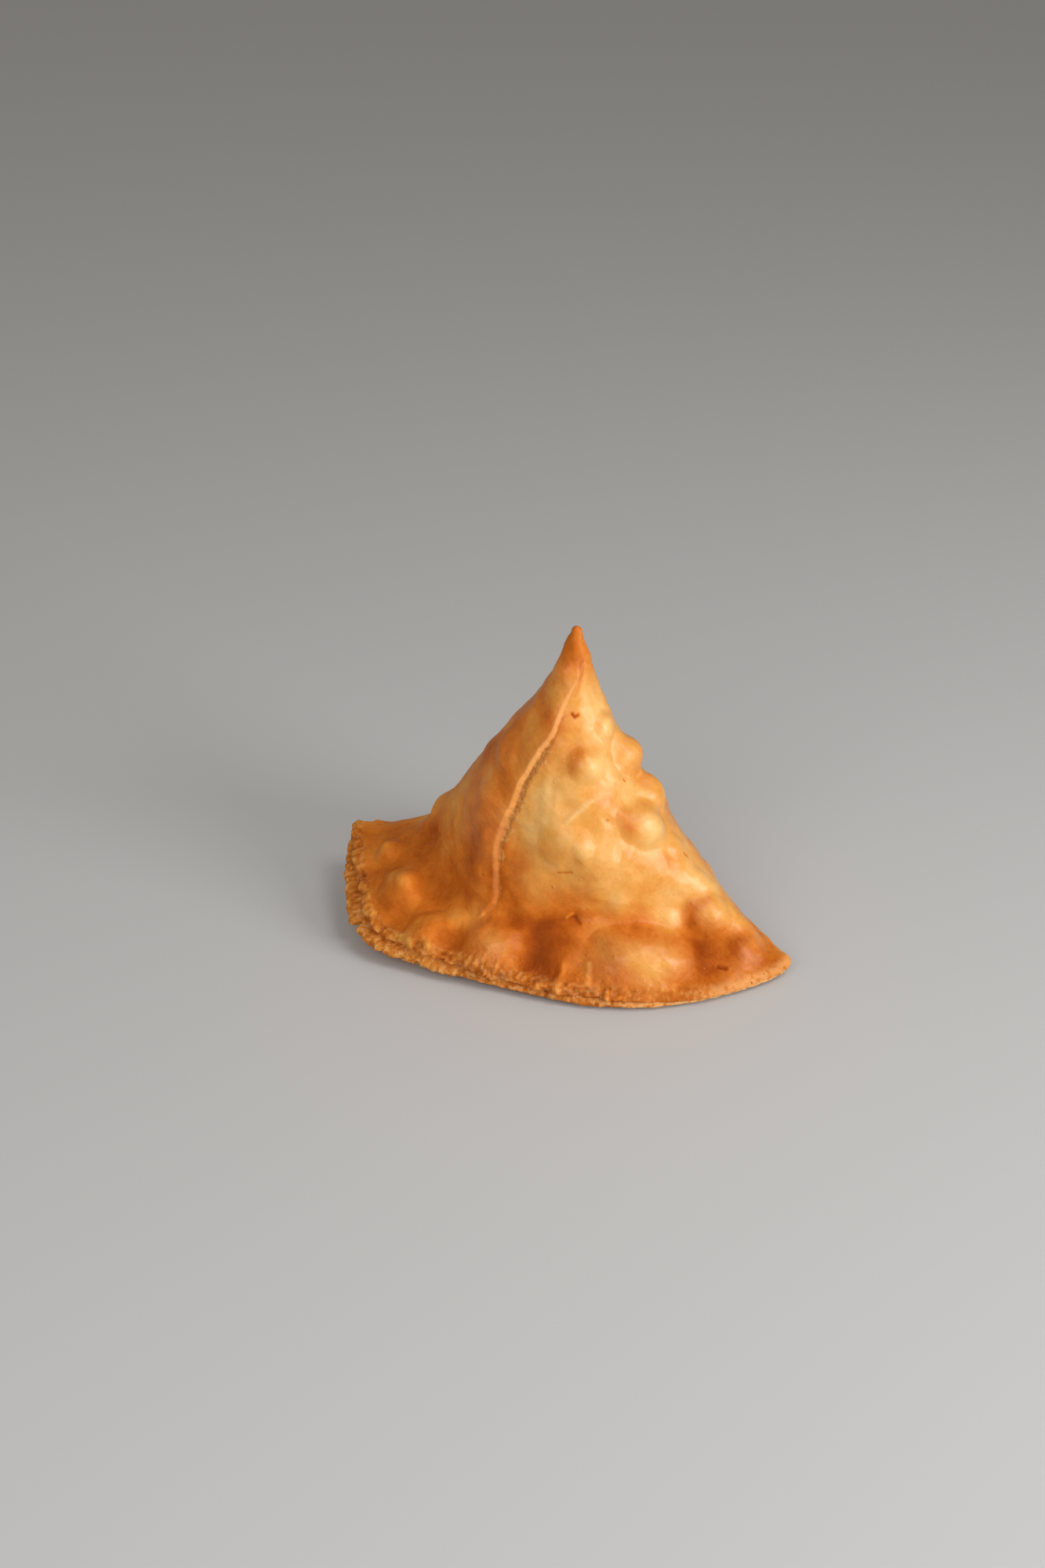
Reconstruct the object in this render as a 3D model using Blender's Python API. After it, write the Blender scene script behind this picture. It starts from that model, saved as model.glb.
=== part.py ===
# A fried samosa: a cone of dough, filled, pinched shut along one curved edge and stood up on its flattened side.
# Lengths in the tables are millimetres: X to the right, Y back from the crimped front, Z up from the table.
import math
from collections import namedtuple

import bpy
import numpy as np

MM = 0.001

SEGMENTS = 480  # lines from the point down to the base
CAP_RINGS = 5
POUCH_RINGS = 70  # rings between the rounded point and the crease
BAND_RINGS = 12  # rings across the pinched band
BASE_RINGS = 5
TRIANGLE_BUDGET = 9600
GRIP = 0.04  # anything this near the table is flat on it

POINT = (1.5, 30.0, 79.3)
BASE_CENTRE = (2.0, 28.0)
LAP = 1.1  # how far the overlapping layer of the cone stands proud at its seam
LAP_EDGE = 0.9  # width of its cut edge
LAP_FADE = 13.0
# The crumbled edges wave unevenly: waves of several pitches and depths, for the upper and the lower layer.
UPPER_WAVES = [(2.3, 0.18), (3.7, 0.25), (9.0, 0.35)]
LOWER_WAVES = [(2.8, 0.22), (4.9, 0.3), (13.0, 0.4)]

# The samosa is drawn through stations round it, clockwise from above and starting at the right-hand tip.
#   turn    the station's direction on the pouch's cross-sections, in degrees
#   edge    the outermost line: the pinched edge in front, the fold of the pouch behind
#   crease  where the pinched band meets the filled pouch
#   under   where the band's underside meets the pouch's
#   foot    the rim of the flat base
#   ease    how far the edge line runs straight on past the station, small at a corner
#   pinch   1 where two layers are pinched together, 0 where the dough is folded round
#   half    half the thickness there
#   step    how far the lower layer stands out from under the upper one
Station = namedtuple("Station", "turn edge crease under foot ease pinch half step")
STATIONS = [
    Station(0, (49.9, 15.6, 2.7), (38.5, 18.8, 13.6), (35.0, 21.0, 1.2), (29, 21), 0.42, 1, 1.7, 0.1),
    Station(-42, (31.7, 3.7, 1.6), (26.5, 15.5, 16.2), (28.0, 12.0, 0.2), (26, 13), 1.0, 1, 1.35, 0.25),
    Station(-84, (8.0, -1.1, 2.2), (6.0, 12.6, 15.5), (7.0, 7.0, 0.0), (7, 8), 1.0, 1, 1.75, 0.7),
    Station(-122, (-19.5, 7.3, 3.2), (-14.0, 15.5, 15.5), (-15.0, 13.0, 0.3), (-14, 14), 1.0, 1, 2.1, 1.3),
    Station(-150, (-45.4, 18.2, 6.2), (-27.0, 27.0, 16.0), (-31.0, 23.0, 2.2), (-22, 23), 0.6, 1, 2.3, 2.6),
    Station(-167, (-52.0, 36.0, 9.6), (-31.0, 38.0, 19.6), (-33.0, 35.0, 4.5), (-24, 33), 0.8, 1, 2.3, 3.6),
    Station(-182, (-51.6, 55.2, 14.0), (-35.0, 48.0, 18.8), (-33.0, 46.0, 7.5), (-22, 41), 0.2, 1, 1.9, 2.4),
    Station(-222, (-24.0, 57.0, 13.5), (-22.0, 57.5, 20.5), (-20.0, 51.0, 3.5), (-15, 46), 0.8, 0, 3.8, 0.0),
    Station(-266, (5.0, 61.0, 12.5), (5.0, 61.0, 20.5), (5.0, 54.0, 2.5), (6, 48), 1.0, 0, 4.2, 0.0),
    Station(-315, (27.5, 42.5, 9.5), (26.0, 42.5, 16.5), (25.5, 37.5, 2.0), (20, 35), 0.9, 0, 3.8, 0.0),
]

# Cross-sections of the filled pouch: how far it reaches each way at a height, where its two side
# ridges sit, and whether the section is oval (1) or comes to an edge at the ridges (more than 1).
Section = namedtuple("Section", "height left right front back left_ridge right_ridge lens")
SECTIONS = [
    Section(77.6, 0.0, 2.9, 28.6, 31.5, 30.0, 30.0, 1.0),
    Section(71.0, -2.3, 4.7, 26.3, 34.4, 30.5, 30.0, 1.05),
    Section(64.0, -5.7, 6.8, 23.4, 39.0, 31.3, 30.0, 1.1),
    Section(54.5, -12.1, 10.8, 19.4, 46.0, 33.0, 29.5, 1.2),
    Section(43.0, -20.4, 17.2, 15.6, 53.5, 35.5, 28.5, 1.2),
    Section(31.0, -27.0, 24.6, 13.2, 59.0, 40.0, 27.0, 1.1),
]

# The seam down the front, where the left layer laps over the right one: X and Z, from the crease up.
SEAM = [(-18.1, 14.2), (-15.3, 21.9), (-14.7, 29.0), (-11.8, 39.9), (-5.7, 53.0), (-0.4, 63.7), (3.0, 71.0)]

# Blisters raised by the frying, and the broad swells of the filling: where, how wide and how high.
Blister = namedtuple("Blister", "x y z radius height")
BLISTERS = [
    Blister(8.2, 24.5, 57.7, 3.6, 1.3),
    Blister(4.8, 17.5, 51.8, 4.8, 1.6),
    Blister(14.6, 27.0, 50.8, 6.4, 3.4),
    Blister(18.6, 26.3, 41.2, 5.8, 2.7),
    Blister(17.6, 18.3, 36.8, 6.4, 2.9),
    Blister(-0.8, 12.6, 34.4, 6.4, 1.2),
    Blister(6.0, 13.5, 27.0, 7.0, 0.6),
    Blister(31.6, 15.6, 15.4, 6.0, 1.5),
    Blister(9.5, 6.2, 10.2, 9.0, 1.9),
    Blister(17.2, 5.8, 10.2, 10.0, 2.4),
    Blister(25.0, 7.2, 10.0, 8.5, 1.7),
    Blister(40.0, 13.0, 7.4, 5.6, 1.1),
    Blister(-16.8, 9.4, 10.2, 8.5, 3.1),
    Blister(-25.2, 18.6, 11.0, 4.2, 1.2),
    Blister(-31.4, 16.2, 9.6, 6.3, 2.9),
    Blister(-38.0, 29.4, 14.5, 6.0, 3.1),
    Blister(-41.8, 40.6, 15.8, 3.9, 2.3),
    Blister(-19.5, 21.5, 34.0, 10.5, 2.1),
    Blister(-21.0, 20.5, 19.5, 7.0, 1.1),
    Blister(-13.5, 27.0, 50.5, 4.8, 0.8),
    Blister(8.0, 55.0, 40.0, 7.9, 1.7),
    Blister(-8.0, 58.0, 27.0, 10.0, 2.1),
    Blister(22.0, 47.0, 24.0, 8.0, 1.9),
    Blister(-4.0, 44.0, 56.0, 6.0, 1.2),
    Blister(15.0, 42.0, 46.0, 4.4, 1.3),
    Blister(-16.0, 52.0, 38.0, 5.0, 1.4),
    Blister(2.0, 60.0, 19.0, 6.5, 1.1),
    Blister(29.0, 33.0, 15.0, 5.3, 1.4),
    Blister(19.0, 34.0, 34.0, 4.3, 1.1),
    Blister(-30.0, 47.0, 27.0, 5.0, 1.3),
]


def periodic(values, at, ease=None):
    """Values given at the stations, read between them on one smooth closed curve."""
    values = np.array(values, float).reshape(len(values), -1)
    count = len(values)
    slope = (np.roll(values, -1, 0) - np.roll(values, 1, 0)) / 2
    if ease is not None:
        slope *= np.array(ease)[:, None]
    here = np.floor(at).astype(int) % count
    after = (here + 1) % count
    t = (at % 1.0)[:, None]
    return (
        (2 * t**3 - 3 * t**2 + 1) * values[here]
        + (t**3 - 2 * t**2 + t) * slope[here]
        + (3 * t**2 - 2 * t**3) * values[after]
        + (t**3 - t**2) * slope[after]
    )


def through(knots, values, at):
    """A smooth curve through values of any shape, one for each rising knot."""
    knots = np.array(knots, float)
    values = np.array(values, float)
    slope = np.gradient(values, knots, axis=0)
    here = np.clip(np.searchsorted(knots, at, side="right") - 1, 0, len(knots) - 2)
    shape = np.shape(at) + (1,) * (values.ndim - 1)
    gap = (knots[here + 1] - knots[here]).reshape(shape)
    t = (at - knots[here]).reshape(shape) / gap
    return (
        (2 * t**3 - 3 * t**2 + 1) * values[here]
        + (t**3 - 2 * t**2 + t) * gap * slope[here]
        + (3 * t**2 - 2 * t**3) * values[here + 1]
        + (t**3 - t**2) * gap * slope[here + 1]
    )


def unit(vectors):
    return vectors / np.maximum(np.linalg.norm(vectors, axis=-1, keepdims=True), 1e-9)


def soft_step(t):
    t = np.clip(t, 0, 1)
    return t * t * (3 - 2 * t)


def column(field):
    return [getattr(station, field) for station in STATIONS]


def places_round():
    """Station numbers at steps that are short along the pinched edge and longer behind."""
    fine = np.linspace(0, len(STATIONS), 4001)
    line = periodic(column("edge"), fine, column("ease"))
    care = 1 + 1.5 * periodic(column("pinch"), fine)[1:, 0].clip(0, 1)
    pieces = np.linalg.norm(np.diff(line, axis=0), axis=1)
    run = np.concatenate([[0], np.cumsum(pieces * care)])
    at = np.interp(np.arange(SEGMENTS) * run[-1] / SEGMENTS, run, fine)
    length = np.interp(at, fine, np.concatenate([[0], np.cumsum(pieces)]))
    return at, length


def section_rings(turn):
    rings = []
    side = np.cos(turn)
    face = np.sin(turn)
    for s in SECTIONS:
        spine = s.left_ridge + (s.right_ridge - s.left_ridge) * (side + 1) / 2
        middle = (s.left_ridge + s.right_ridge) / 2
        reach = np.where(face < 0, middle - s.front, s.back - middle)
        x = (s.left + s.right) / 2 + (s.right - s.left) / 2 * side
        y = spine + np.sign(face) * reach * np.abs(face) ** s.lens
        rings.append(np.stack([x, y, np.full_like(x, s.height)], 1))
    return rings


def lip_rings(edge, middle, half, pinch, step, length):
    """The lip of the edge, from the top of the band round to its underside."""
    out = edge - middle
    out[:, 2:] *= pinch
    out = unit(out)
    up = unit(np.array([0, 0, 1.0]) - out * out[:, 2:])
    room = np.linalg.norm(edge - middle, axis=1, keepdims=True)
    # Where two layers are pinched: outwards, upwards, and whether the step sets it back.
    pinched = [(-4.6, 1, 1), (-1.7, 1, 1), (-0.45, 0.8, 1), (-0.1, 0.5, 1), (-0.7, 0.12, 1), (-0.9, 0, 0.6)]
    pinched += [(-0.35, -0.12, 0), (0, -0.5, 0), (-0.45, -0.9, 0), (-1.6, -1, 0), (-4.6, -1, 0)]
    rings = []
    for (x, z, set_back), fold in zip(pinched, np.linspace(1, -1, len(pinched))):
        waves = UPPER_WAVES if set_back else LOWER_WAVES
        wave = sum(depth * np.sin(length * 2 * math.pi / pitch + depth * 20) for pitch, depth in waves)
        reach = pinch * (x + wave[:, None] * (x > -1) - set_back * step)
        reach = np.maximum(reach, -0.6 * room) - (1 - pinch) * 1.5 * min(fold, 0) ** 2
        rise = (pinch * z + (1 - pinch) * fold) * half
        rings.append(edge + out * reach + up * rise)
    return rings


def smooth_samosa(at, length, turn):
    """The samosa before seam and blisters, as rings of points from the closed point down to the base's middle."""
    edge = periodic(column("edge"), at, column("ease"))
    crease = periodic(column("crease"), at)
    under = periodic(column("under"), at)
    foot = np.concatenate([periodic(column("foot"), at), np.zeros((SEGMENTS, 1))], 1)
    pinch = periodic(column("pinch"), at).clip(0, 1)
    half = periodic(column("half"), at)
    step = periodic(column("step"), at).clip(0, None)
    lip = lip_rings(edge, (crease + under) / 2, half, pinch, step, length)

    point = np.array(POINT)
    sections = section_rings(turn)
    cap = []
    for bend in np.linspace(0, math.pi / 2, CAP_RINGS)[:-1]:
        share = np.array([math.sin(bend), math.sin(bend), 1 - math.cos(bend)])
        cap.append(point + (sections[0] - point) * share)
    guides = np.array([*sections, crease])
    knots = np.linalg.norm(np.diff(guides, axis=0), axis=2).mean(1)
    knots = np.concatenate([[0], np.cumsum(knots)])
    pouch = through(knots, guides, knots[-1] * np.linspace(0, 1, POUCH_RINGS))

    across = np.linspace(0, 1, BAND_RINGS)[1:-1]
    above = [crease * (1 - t) + lip[0] * t for t in across]
    below = [lip[-1] * (1 - t) + under * t for t in across[::3]]
    centre = np.array([*BASE_CENTRE, 0.0])
    base = [foot * (1 - t) + centre * t for t in np.linspace(0, 1, BASE_RINGS)]
    return np.array([*cap, *pouch, *above, *lip, *below, under, *base])


def outward(rings):
    """The direction out of the surface at each point, smoothed so that a blister swells evenly."""
    down = np.gradient(rings, axis=0)
    along = np.roll(rings, -1, 1) - np.roll(rings, 1, 1)
    out = unit(np.cross(along, down))
    for reach in (1, 2, 3, 4, 5):
        beside = np.roll(out, reach, 1) + np.roll(out, -reach, 1)
        padded = np.concatenate([out[:1], out, out[-1:]])
        out = unit(2 * out + beside + padded[:-2] + padded[2:])
    return out


def raised(rings, turn):
    """How far the seam and the blisters lift each point."""
    seam = np.array(SEAM)
    left_of_seam = through(seam[:, 1], seam[:, 0], rings[..., 2].clip(seam[0, 1], seam[-1, 1])) - rings[..., 0]
    lap = soft_step(left_of_seam / LAP_EDGE) * np.exp(-((left_of_seam / LAP_FADE) ** 2))
    ends = soft_step((rings[..., 2] - seam[0, 1]) / 5) * soft_step((POINT[2] - rings[..., 2]) / 6)
    lift = LAP * lap * ends * soft_step(-1.5 * np.sin(turn))
    for b in BLISTERS:
        off = ((rings - np.array([b.x, b.y, b.z])) ** 2).sum(-1) / b.radius**2
        lift += b.height * (1 - off).clip(0, None) ** 1.6
    return lift


def samosa_rings():
    at, length = places_round()
    turns = column("turn") + [column("turn")[0] - 360]
    turn = np.radians(through(range(len(turns)), turns, at))
    rings = smooth_samosa(at, length, turn)
    clear_of_table = soft_step((rings[..., 2] - 1) / 3)
    rings = rings + outward(rings) * (raised(rings, turn) * clear_of_table)[..., None]
    rings[..., 2] = rings[..., 2].clip(0, None)
    return rings


def shape_sphere(sphere, rings):
    """Pull every vertex of the sphere to its place on the samosa, ring by ring."""
    count = len(sphere.data.vertices)
    ball = np.empty(count * 3)
    sphere.data.vertices.foreach_get("co", ball)
    ball = ball.reshape(-1, 3) / np.linalg.norm(ball.reshape(-1, 3), axis=1, keepdims=True)
    ring = np.rint(np.arccos(ball[:, 2].clip(-1, 1)) / math.pi * (len(rings) - 1)).astype(int)
    line = np.rint(-np.arctan2(ball[:, 1], ball[:, 0]) / (2 * math.pi) * SEGMENTS).astype(int) % SEGMENTS
    sphere.data.vertices.foreach_set("co", (rings[ring, line] * MM).ravel())
    sphere.data.update()


def settle(sphere):
    """Press the base flat on the table, and put the middle of the footprint at the origin."""
    count = len(sphere.data.vertices)
    points = np.empty(count * 3)
    sphere.data.vertices.foreach_get("co", points)
    points = points.reshape(-1, 3)
    points[points[:, 2] < GRIP * MM, 2] = 0
    middle = (points.min(0) + points.max(0)) / 2
    points[:, :2] -= middle[:2]
    sphere.data.vertices.foreach_set("co", points.ravel())
    sphere.data.update()


def crust_material():
    material = bpy.data.materials.new("crust")
    material.use_nodes = True
    shader = material.node_tree.nodes["Principled BSDF"]
    shader.inputs["Base Color"].default_value = (0.64, 0.3, 0.08, 1)
    shader.inputs["Roughness"].default_value = 0.45
    shader.inputs["Metallic"].default_value = 0
    return material


for leftover in list(bpy.data.objects):
    bpy.data.objects.remove(leftover)
collection = bpy.data.collections.new("samosa")
bpy.context.scene.collection.children.link(collection)

rings = samosa_rings()
bpy.ops.mesh.primitive_uv_sphere_add(segments=SEGMENTS, ring_count=len(rings) - 1, radius=1)
pastry = bpy.context.active_object
pastry.name = "pastry"
pastry.data.name = "pastry"
for home in list(pastry.users_collection):
    home.objects.unlink(pastry)
collection.objects.link(pastry)
shape_sphere(pastry, rings)
pastry.data.materials.append(crust_material())

thin = pastry.modifiers.new("thin out", "DECIMATE")
pastry.data.calc_loop_triangles()
thin.ratio = TRIANGLE_BUDGET / len(pastry.data.loop_triangles)
bpy.context.view_layer.objects.active = pastry
bpy.ops.object.modifier_apply(modifier=thin.name)
settle(pastry)
bpy.ops.object.shade_smooth()
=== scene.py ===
# A fried samosa standing on its flat side, with its lapped seam and its crimped double edge to the front.
import math
import bpy
import numpy as np
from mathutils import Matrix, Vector, noise


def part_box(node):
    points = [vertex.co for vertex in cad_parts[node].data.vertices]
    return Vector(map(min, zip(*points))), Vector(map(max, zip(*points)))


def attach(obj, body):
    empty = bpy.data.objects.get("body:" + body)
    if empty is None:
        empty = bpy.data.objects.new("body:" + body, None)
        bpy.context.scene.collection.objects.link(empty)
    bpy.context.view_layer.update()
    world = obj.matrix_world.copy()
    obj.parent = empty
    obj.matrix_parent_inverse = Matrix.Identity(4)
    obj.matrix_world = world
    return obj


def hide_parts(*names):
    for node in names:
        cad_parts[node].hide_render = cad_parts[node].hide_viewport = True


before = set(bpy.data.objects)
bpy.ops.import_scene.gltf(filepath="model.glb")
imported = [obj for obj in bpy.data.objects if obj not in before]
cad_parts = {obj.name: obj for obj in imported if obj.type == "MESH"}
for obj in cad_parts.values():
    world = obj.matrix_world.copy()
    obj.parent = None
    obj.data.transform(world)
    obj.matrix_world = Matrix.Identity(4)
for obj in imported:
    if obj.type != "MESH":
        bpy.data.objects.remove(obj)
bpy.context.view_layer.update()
pastryBox = [Vector(corner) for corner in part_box("pastry")]
bpy.ops.object.select_all(action="DESELECT")

# Everything here is drawn in millimetres and fitted to the pastry's box at the end:
# X to the right, Y back from the crimped edge, Z up.

crust = {
    "lines": 1240,           # from the point down to the base
    "capRings": 8,
    "pouchRings": 200,
    "bandRings": 60,
    "lipRings": 64,
    "underRings": 10,
    "baseRings": 12,
    "triangles": 196000,
    "point": (1.5, 30.0, 79.3),
    "baseCentre": (2.0, 28.0),
    "unevenness": 0.30,      # the dough's slow lumps
    "ripple": 0.05,
    "upperTeeth": (3.0, 0.6),     # spacing and depth of the crimped edge's teeth
    "lowerTeeth": (3.3, 0.8),
    "fingers": 0.45,         # height of the ridges that run from the teeth onto the top
    "nick": (-47.2, 24.7),   # where the lower layer is torn
    "nickSize": (2.4, 0.6),       # how deep and how wide
    "tornEdge": ((-41.0, 19.0, 6.5), 6.0),    # centre and radius of its crumbliest stretch
    "drip": (6.3, 0.7),      # where the lower layer bulges down to the table
    "dripSize": (1.3, 3.0),       # how far down and how wide
    "seed": 5.3,
}

# Stations round the samosa, clockwise from above, from the right-hand tip: turn on the cross-sections,
# edge line, crease, underside, foot, how straight the edge line runs on, pinched or folded, half thickness,
# and how far the lower layer stands out.
stations = [
    (0, (49.9, 15.6, 2.7), (38.5, 18.8, 13.6), (35.0, 21.0, 1.2), (29, 21), 0.42, 1, 1.7, 0.1),
    (-42, (31.7, 3.7, 1.6), (26.5, 15.5, 16.2), (28.0, 12.0, 0.2), (26, 13), 1.0, 1, 1.35, 0.25),
    (-84, (8.0, -0.4, 2.2), (6.0, 12.6, 15.5), (7.0, 7.0, 0.0), (7, 8), 1.0, 1, 1.75, 0.7),
    (-122, (-19.5, 7.3, 3.2), (-14.0, 15.5, 15.5), (-15.0, 13.0, 0.3), (-14, 14), 1.0, 1, 2.1, 1.3),
    (-150, (-45.4, 18.2, 6.2), (-27.0, 27.0, 16.0), (-31.0, 23.0, 2.2), (-22, 23), 0.6, 1, 2.3, 2.6),
    (-167, (-52.0, 36.0, 9.6), (-31.0, 38.0, 19.6), (-33.0, 35.0, 4.5), (-24, 33), 0.8, 1, 2.2, 3.4),
    (-182, (-51.6, 55.2, 14.0), (-35.0, 48.0, 18.8), (-33.0, 46.0, 7.5), (-22, 41), 0.2, 1, 1.9, 0.5),
    (-222, (-24.0, 57.0, 13.5), (-22.0, 57.5, 20.5), (-20.0, 51.0, 3.5), (-15, 46), 0.8, 0, 3.8, 0.0),
    (-266, (5.0, 61.0, 12.5), (5.0, 61.0, 20.5), (5.0, 54.0, 2.5), (6, 48), 1.0, 0, 4.2, 0.0),
    (-315, (27.5, 42.5, 9.5), (26.0, 42.5, 16.5), (25.5, 37.5, 2.0), (20, 35), 0.9, 0, 3.8, 0.0),
]

stationParts = ("turn", "edge", "crease", "under", "foot", "ease", "pinch", "half", "step")

# Cross-sections of the filled pouch: height, how far left, right, front and back, where the side ridges sit,
# and how sharp they are.
sections = [
    (77.6, 0.0, 2.9, 28.6, 31.5, 30.0, 30.0, 1.0),
    (71.0, -2.3, 4.7, 26.3, 34.4, 30.5, 30.0, 1.05),
    (64.0, -5.7, 6.8, 23.4, 39.0, 31.3, 30.0, 1.1),
    (54.5, -12.1, 10.8, 19.4, 46.0, 33.0, 29.5, 1.2),
    (43.0, -20.4, 17.2, 15.6, 53.5, 35.5, 28.5, 1.2),
    (31.0, -27.0, 24.6, 13.2, 59.0, 40.0, 27.0, 1.1),
]

# Blisters, and dips below 0: place, radius, height, the way and the amount they are drawn out,
# and how much painted shade darkens their left side.
blisters = [
    ((8.2, 24.5, 57.7), 3.4, 1.4, (0, 0, 1), 1.0, 0.45),
    ((4.8, 17.5, 51.8), 4.3, 1.6, (1, 0, -0.6), 1.2, 0.34),
    ((14.6, 27.0, 50.8), 6.4, 3.6, (1, 0, -1), 1.0, 0.25),
    ((18.6, 26.3, 41.2), 5.4, 2.8, (1, 0, -1), 1.15, 0.3),
    ((17.6, 18.3, 36.8), 5.8, 3.0, (1, 0, -0.15), 1.25, 0.7),
    ((-0.8, 12.6, 34.4), 5.2, 1.1, (1, 0, 0), 1.4, 0.32),
    ((3.4, 11.6, 33.8), 2.6, 0.6, (0, 0, 1), 1.2, 0.0),
    ((31.6, 15.6, 15.4), 5.4, 2.2, (1, 0, -0.3), 1.15, 0.7),
    ((17.2, 5.8, 10.2), 9.2, 4.7, (1, 0, 0.05), 1.6, 0.10),
    ((-16.8, 9.4, 10.2), 7.6, 3.2, (1, 0, 0.1), 1.25, 0.1),
    ((-38.6, 28.2, 14.3), 6.6, 3.1, (0.2, 1, 0), 1.15, 0.0),
    ((-36.8, 27.6, 17.0), 3.7, 1.5, (0.2, 1, 0.3), 1.15, 0.0),
    ((-42.0, 41.0, 16.2), 4.1, 2.6, (1, 0, 0), 1.0, 0.0),
    ((-31.4, 16.2, 9.6), 6.0, 3.0, (1, -0.3, 0), 1.1, 0.0),
    ((-25.2, 18.6, 11.0), 4.0, 1.3, (0, 1, 0), 1.0, 0.0),
    ((40.0, 13.0, 7.4), 5.0, 1.2, (1, 0, -0.3), 1.3, 0.3),
    ((49.0, 15.4, 4.0), 2.6, 0.7, (0, 0, 1), 1.0, 0.0),
    ((44.6, 16.6, 7.2), 2.6, -0.35, (0, 0, 1), 1.0, 0.0),
    ((23.2, 21.6, 29.4), 3.4, 0.8, (1, 0, -1), 1.0, 0.0),
    ((23.0, 13.4, 16.0), 2.8, 0.35, (0, 0, 1), 1.3, 0.0),
    ((11.2, 12.0, 20.0), 2.8, 0.5, (0, 0, 1), 1.4, 0.0),
    ((29.0, 19.5, 21.0), 4.0, 0.6, (1, 0, -1), 1.3, 0.0),
    ((6.0, 13.5, 27.0), 6.0, 0.7, (0, 0, 1), 1.4, 0.0),
    ((-19.5, 21.5, 34.0), 9.0, 2.2, (0, 0, 1), 1.5, 0.0),
    ((-21.0, 20.5, 19.5), 7.0, 1.2, (0, 0, 1), 1.0, 0.0),
    ((-13.5, 27.0, 50.5), 4.5, 0.8, (0, 0, 1), 1.2, 0.0),
    ((-1.0, 27.0, 70.5), 3.6, 0.7, (0, 0, 1), 1.1, 0.0),
    ((-38.5, 20.5, 10.5), 4.4, -0.9, (1, 0.5, 0), 1.2, 0.0),
    ((-30.5, 25.0, 14.5), 4.4, -0.8, (1, -1, 0), 1.4, 0.0),
    ((-27.0, 30.5, 27.0), 5.0, -0.4, (0, 0, 1), 2.2, 0.0),
    ((8.0, 55.0, 40.0), 7.5, 1.8, (1, 0, 0), 1.2, 0.2),
    ((-8.0, 58.0, 27.0), 9.5, 2.2, (1, 0, 1), 1.2, 0.2),
    ((22.0, 47.0, 24.0), 8.0, 2.0, (1, -1, 0), 1.0, 0.2),
    ((-4.0, 44.0, 56.0), 5.5, 1.3, (0, 0, 1), 1.3, 0.0),
    ((15.0, 42.0, 46.0), 4.4, 1.4, (0, 0, 1), 1.0, 0.2),
    ((-16.0, 52.0, 38.0), 5.0, 1.5, (0, 0, 1), 1.0, 0.2),
    ((2.0, 60.0, 19.0), 6.0, 1.2, (1, 0, 0), 1.4, 0.0),
    ((29.0, 33.0, 15.0), 5.0, 1.5, (0, 1, 0), 1.2, 0.0),
    ((19.0, 34.0, 34.0), 4.2, 1.2, (0, 1, 0), 1.1, 0.2),
    ((-30.0, 47.0, 27.0), 5.0, 1.4, (0, 1, 0), 1.0, 0.0),
]
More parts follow.
